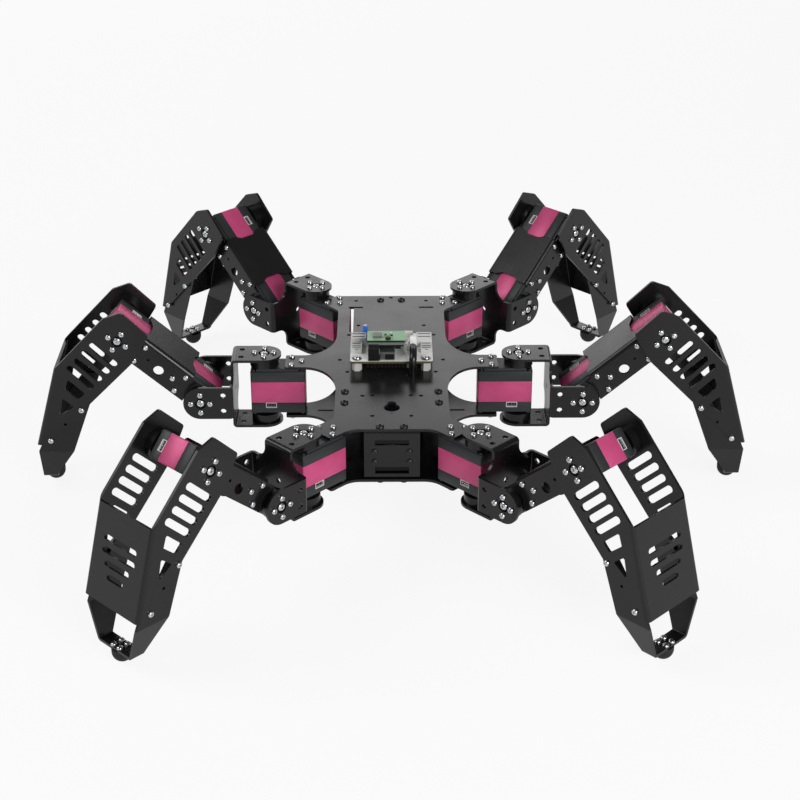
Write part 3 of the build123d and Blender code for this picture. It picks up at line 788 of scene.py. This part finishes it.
# %% Board materials
def laminate(name, dark, pale, edge_colour):
    """Solder mask on the flat faces, bare laminate on the cut edges."""
    material, tree, shader = start_material(name, pale, 0.38, IOR=1.5)
    fine = grain(tree, 2.0)
    facing = add_node(
        tree, "ShaderNodeSeparateXYZ",
        {0: add_node(tree, "ShaderNodeNewGeometry").outputs["Normal"]},
    )
    height = add_node(tree, "ShaderNodeMath", {0: facing.outputs["Z"]}, operation="ABSOLUTE")
    flat = add_node(
        tree, "ShaderNodeMath", {0: height.outputs[0], 1: 0.5}, operation="GREATER_THAN"
    )
    mixed = add_node(
        tree, "ShaderNodeMix",
        {"Factor": flat.outputs[0], "A": linear(edge_colour), "B": tint(tree, fine, dark, pale)},
        data_type="RGBA",
    )
    link(tree, mixed.outputs["Result"], shader, "Base Color")
    link(tree, spread(tree, fine, 0.34, 0.42), shader, "Roughness")
    return material


plug_white = moulded("white_power_plug", "f0f0ee", "f8f8f6", 0.3)
board_white = laminate("white_solder_mask", "ecedea", "f6f7f4", "5c5434")
board_green = laminate("green_solder_mask", "7fae82", "92bd93", "06300f")
part_black = moulded("black_moulded_part", "070708", "0d0d0e", 0.4)
part_grey = moulded("grey_header_strip", "6e7070", "7c7e7e", 0.45)
chip_grey = moulded("moulded_chip_epoxy", "5f5c5b", "6b6867", 0.35)
shell_metal = plated("nickel_plated_shell", "9a9a98", "b2b2b0", 0.35)
can_blue = moulded("blue_capacitor_sleeve", "2f6fdc", "3d7fe6", 0.3)
amber = moulded("amber_indicator_lens", "6b2a08", "8a3a10", 0.25)
lead_black = moulded("black_lead_sleeve", "050505", "0a0a0a", 0.3)
print(board_white.name, board_green.name)

# %% [markdown]
# ## Sockets of the servo cables
# A row of white sockets stands along either side of the board, low in front and high
# behind. Each row is one block with a slit for every plug, and a dark block lies in each
# slit as painted shade for its depth. Places are given from the middle of the robot, and
# heights from the board's top.

# %% Sockets
board_low, board_high = (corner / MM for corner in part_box("controller_board"))
board_top = board_high.z
small_low, small_high = (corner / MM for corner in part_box("small_board"))
row_margin = 0.4
slit_wall, slit_width, slit_depth = 1.0, 2.0, 1.5
shade_play, shade_level, shade_height = 0.1, 1.2, 0.9
low_row, high_row = 4.4, 7.6


def part_on(material, top, x, y, size, rounding=0.2):
    """A block that stands on a level, centred at x and y."""
    return block(material, size, (x, y, top + size[2] / 2), rounding)


def socket_row(side, inner, front, depth, height, slits):
    """A moulded row of sockets by the board's edge, with one open slit for each plug and a dark
    block low in it as painted shade.
    """
    outer = board_high.x - row_margin
    centre, width = side * (inner + outer) / 2, outer - inner
    top = board_top + height
    row = part_on(white_nylon, board_top, centre, front + depth / 2, (width, depth, height))
    slit_length = width - 2 * slit_wall
    slit_shade = (slit_length - 2 * shade_play, slit_width - 2 * shade_play, shade_height)
    slit_shades = []
    for y in slits:
        cut(row, box("slit", (slit_length, slit_width, 2 * slit_depth), (centre, y, top)))
        # Each dark block low in a slit is painted shade for the depth of the slit.
        slit_shades.append(part_on(shade_black, top - shade_level, centre, y, slit_shade, 0.1))
    return [row, *slit_shades]


sockets = [part_on(white_nylon, board_top, 12.8, 22.4, (6.3, 4.1, low_row))]
row_front = -6.2
for side in (1, -1):
    front_row = socket_row(side, 21.4, row_front, 11.2, low_row, (2.9, -1.6, -4.9))
    mark_centre = (side * 25.5, row_front, board_top + low_row / 2)
    cut(front_row[0], rod("mark", 1.7, 0.8, mark_centre, 20, (pi / 2, 0, 0)))
    sockets += front_row + socket_row(side, 18.4, 5.0, 9.9, high_row, (7.4, 12.4))
dress(join("cable_sockets", sockets), "chassis", "socket_white", None, "servo_sockets")
print(len(sockets), "socket parts")

# %% [markdown]
# ## Parts of the controller board
# From the front: a power jack, a data socket in its metal shell, and behind them small
# sockets, a round buzzer with a hole for its sound, and a blue capacitor that stands
# upright. A can is a cylinder whose upper rim is rounded.


# %% Controller parts
def can_on(name, material, x, y, radius, height, rim, sides):
    """A round part that stands on the controller board, with a rounded upper rim."""
    can = rod(name, radius, height, (x, y, board_top + height / 2), sides=sides)
    return paint(bevel(can, rim, 2, rim_at(board_top + height)), material)


power_jack = part_on(part_black, board_top, -12.9, -13.0, (8.1, 11.0, 10.0), 0.4)
data_socket = [
    part_on(shell_metal, board_top, -2.9, -12.6, (10.9, 9.4, 6.2), 0.4),
    # The black block at the front of the shell is painted shade for the open mouth of the
    # socket.
    part_on(part_black, board_top, -1.4, -16.2, (7.8, 2.8, 5.6), 0.9),
]
small_sockets = [
    part_on(white_nylon, board_top, 11.5, -6.0, (3.0, 11.0, low_row)),
    part_on(white_nylon, board_top, 11.2, 14.6, (2.4, 2.0, 2.4)),
]
header = part_on(part_black, board_top, -3.8, 3.4, (21.6, 2.5, small_low.z - board_top))
buzzer_x, buzzer_y, buzzer_height = 5.4, 9.9, 8.0
buzzer = can_on("buzzer", part_black, buzzer_x, buzzer_y, 4.2, buzzer_height, 0.5, 32)
hole_centre = (buzzer_x, buzzer_y, board_top + buzzer_height)
cut(buzzer, rod("hole", 1.0, 3.0, hole_centre, sides=16))
can_x, can_y, can_height = -19.2, 17.4, 12.0
capacitor = can_on("can", can_blue, can_x, can_y, 2.0, can_height, 0.4, 24)
cap = rod("cap", 1.5, 0.3, (can_x, can_y, board_top + can_height + 0.05), sides=24)
bits = [power_jack, *data_socket, *small_sockets, header]
bits += [buzzer, capacitor, paint(cap, shell_metal)]
print(len(bits), "parts on the controller board")

# %% [markdown]
# ## Parts of the small board
# The small board stands on its header strip, whose pins go down into the controller. It
# carries one grey chip with a row of tinned legs on either side, a few parts the size
# of a grain of rice, and a round button with an amber lens.

# %% Small board parts
middle_x = (small_low.x + small_high.x) / 2
width = small_high.x - small_low.x
strip_y, strip_height = small_low.y + 1.5, 2.2
strip_low = small_low.z - strip_height
root_height = 1.3
chip_x, chip_y, chip_reach, chip_pitch = -10.2, -3.8, 3.7, 1.3
bits += [
    part_on(part_grey, strip_low, middle_x, strip_y, (width - 0.8, 2.4, strip_height)),
    part_on(
        part_black, strip_low - root_height, middle_x, strip_y, (width - 2.4, 2.0, root_height)
    ),
    part_on(chip_grey, small_high.z, chip_x, chip_y, (6.2, 6.6, 1.5)),
    part_on(part_black, small_high.z, -4.3, -2.1, (1.6, 1.4, 0.9)),
    part_on(white_nylon, small_high.z, -0.4, 0.7, (2.2, 1.2, 0.9)),
    part_on(part_black, small_high.z, 0.1, -3.3, (1.8, 1.6, 0.9)),
]
leg_size = (1.0, 0.6, 0.35)
for side in (1, -1):
    x = chip_x + side * chip_reach
    for step in (-2, -1, 0, 1, 2):
        y = chip_y + step * chip_pitch
        bits.append(part_on(tinned_pin, small_high.z, x, y, leg_size, 0.1))
button_x, button_y = -2.5, small_low.y + 2.4
base = rod("indicator", 2.0, 2.4, (button_x, button_y, small_high.z + 1.2), sides=24)
lens = rod("lens", 1.3, 0.7, (button_x, button_y, small_high.z + 2.6), sides=20)
bits += [paint(base, board_green), paint(lens, amber)]
print(len(bits), "parts on both boards")

# %% [markdown]
# ## Pins, plug and board screws
# The pins of a soldered header hang below the front edge of the controller. The plug of
# the power lead stands in its white socket, with its catch at the side. At the corners
# the board is screwed to its standoffs, with a black washer under each bright head.

# %% Pins, plug and board screws
header_pitch, pin_drop = 2.54, 4.2
pin_row = [(-17.0 + index * header_pitch, part_black) for index in range(11)]
pin_row.append((11.9, white_nylon))
bits += [
    part_on(material, board_low.z - pin_drop, x, board_low.y + 1.6, (1.5, 1.2, pin_drop), 0.1)
    for x, material in pin_row
]
plug_x = 15.8
bits += [
    part_on(white_nylon, board_top, plug_x, -5.0, (4.6, 7.0, low_row)),
    part_on(plug_white, board_top + 3.2, plug_x, -4.6, (5.0, 6.2, 9.6), 0.5),
    part_on(plug_white, board_top + 6.2, plug_x - 3.8, -3.4, (3.2, 3.0, 2.4), 0.6),
]
dress(join("board_components", bits), "chassis", "part_black", None, "board_parts")
washer_height = 0.4
washer = rod("washer", 3.4, washer_height, (0, 0, washer_height / 2))
paint(bevel(washer, 0.1, 1, every_edge), black_screw)
board_screw = join("board_screw", [pan_head("head", 2.7, 1.9), washer])
screw_inset = 5
corner_spots = [
    place_at(Vector((side * (board_high.x - screw_inset), y, board_top)) * MM, RIGHT, UP)
    for side in (1, -1)
    for y in (board_low.y + screw_inset, board_high.y - screw_inset)
]
dress(copies(board_screw, "board_screws", corner_spots), "chassis", None, None)
bpy.data.objects.remove(board_screw)
print(len(corner_spots), "board screws")

# %% [markdown]
# ## The power lead
# The lead leaves its plug, bends down in front of the board and goes into the body to
# the battery. It is stiff and only some 40 mm long, so it makes one bend and no sag. It
# is a smooth curve with a round section, led by a few given points. The curve
# takes a shortcut past its points, so it is a little shorter than the line through
# them. Each point carries the radius, because Blender adds it to the box of the curve.

# %% Power lead
lead_low, lead_high = (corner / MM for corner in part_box("power_lead"))
lead_radius = 2.75
lead_shift = 0.6
lead_x = (lead_low.x + lead_high.x) / 2 + lead_shift
drop_y = lead_low.y + (lead_high.x - lead_low.x) / 2
lead_points = [
    (plug_x, -7.8, board_top + 6.4), (plug_x, -12.5, board_top + 7.0),
    (plug_x, -18.5, board_top + 6.6), (lead_x + 0.3, drop_y - 0.6, board_top + 3.6),
    (lead_x, drop_y, board_top - 6.0), (lead_x, drop_y, board_top - 16.0),
    (lead_x, drop_y, lead_low.z + 0.2),
]
curve = bpy.data.curves.new("power_cord", "CURVE")
curve.dimensions = "3D"
curve.bevel_depth = 1.0
curve.bevel_resolution = 6
curve.use_fill_caps = True
spline = curve.splines.new("NURBS")
spline.points.add(len(lead_points) - 1)
for point, place in zip(spline.points, lead_points):
    point.co = (*(Vector(place) * MM), 1)
    point.radius = lead_radius * MM
spline.order_u = 3
spline.use_endpoint_u = True
lead = bpy.data.objects.new("power_cord", curve)
bpy.context.scene.collection.objects.link(lead)
dress(lead, "chassis", "lead_black", lead_black, "power_lead")

# %% [markdown]
# ## Finish of the parts that keep their CAD shape
# A CAD node whose shape is right only needs its material. Its object carries one
# material slot, which is pointed to the new finish: the black sheet, unless the node's
# name ends in one of the others.

# %% Finish the CAD nodes
rubber = moulded("black_moulded_rubber", "0d0d0d", "151515", 0.7, 0.8)
wrap = moulded("heat_shrink_wrap", "11151c", "1a2029", 0.35)
finishes = {
    "foot_ball": rubber, "controller_board": board_white, "small_board": board_green,
    "board_standoffs": white_nylon, "battery_pack": wrap,
}
for node, piece in frame["nodes"].items():
    finish = next((finishes[key] for key in finishes if node.endswith(key)), black_sheet)
    for slot in piece.material_slots:
        slot.material = finish
print("finished", len(frame["nodes"]), "CAD nodes")

# %% [markdown]
# ## Floor and light
# A black robot is drawn by what it reflects. It stands on a pale floor that the camera
# sees as white, and that reflections see darker. Four soft boxes shape it: a wide one
# behind, which the level deck mirrors towards the camera, a large one at the front
# right, which brings out the colour of the servos, one high at the left for the edges,
# and a small low one behind at the left, which the inner faces of the right legs
# mirror. The rest of the room stays dim, so the sheet that faces it goes deep black.


# %% Studio
def seen_by(tree, camera, glossy, other=0.0):
    """A strength for what the camera sees, one for reflections and one for the rest."""
    path = add_node(tree, "ShaderNodeLightPath")
    level = other
    strengths = {
        "Is Glossy Ray": glossy, "Is Transmission Ray": glossy, "Is Camera Ray": camera,
    }
    for ray, strength in strengths.items():
        level = add_node(
            tree, "ShaderNodeMapRange",
            {"Value": path.outputs[ray], "To Min": level, "To Max": strength},
        ).outputs["Result"]
    return level


floor_size, floor_thickness, floor_gap = 6000, 2, 0.2
floor = box(
    "floor", (floor_size, floor_size, floor_thickness),
    (0, 0, -floor_thickness / 2 - floor_gap),
)
floor_paint, tree, shader = start_material("white_floor_paint", "f2f2f2", 0.9)
glow = add_node(tree, "ShaderNodeEmission", {"Color": (1, 1, 1, 1), "Strength": 1.0})
mixed = add_node(
    tree, "ShaderNodeMixShader",
    {0: seen_by(tree, camera=0.88, glossy=0.42), 1: shader.outputs[0], 2: glow.outputs[0]},
)
tree.links.new(mixed.outputs[0], tree.nodes["Material Output"].inputs["Surface"])
floor.data.materials.append(floor_paint)

world = bpy.data.worlds.new("pale_room")
bpy.context.scene.world = world
world.use_nodes = True
background = world.node_tree.nodes["Background"]
background.inputs["Color"].default_value = (1, 1, 1, 1)
room_level = seen_by(world.node_tree, camera=1.0, glossy=0.2, other=0.16)
world.node_tree.links.new(room_level, background.inputs["Strength"])


def lamp(name, place, width, height, power):
    """A soft box that looks at the middle of the robot, in metres and watts."""
    light = bpy.data.objects.new(name, bpy.data.lights.new(name, "AREA"))
    bpy.context.scene.collection.objects.link(light)
    light.data.shape = "RECTANGLE"
    light.data.size, light.data.size_y = width, height
    light.data.energy = power
    light.location = place
    aim = Vector((0, 0, 0.08)) - light.location
    light.rotation_euler = aim.to_track_quat("-Z", "Y").to_euler()


lamp("rear_box", (0, 2.2, 0.95), 2.0, 0.66, 8.6)
lamp("right_front_box", (1.2, -1.95, 0.95), 1.4, 1.1, 44)
lamp("upper_left_box", (-1.5, -0.1, 1.5), 1.2, 1.2, 17)
lamp("rear_left_box", (-1.0, 2.0, 0.36), 0.9, 0.5, 2)
bpy.context.scene.view_settings.view_transform = "Standard"
print("studio ready")
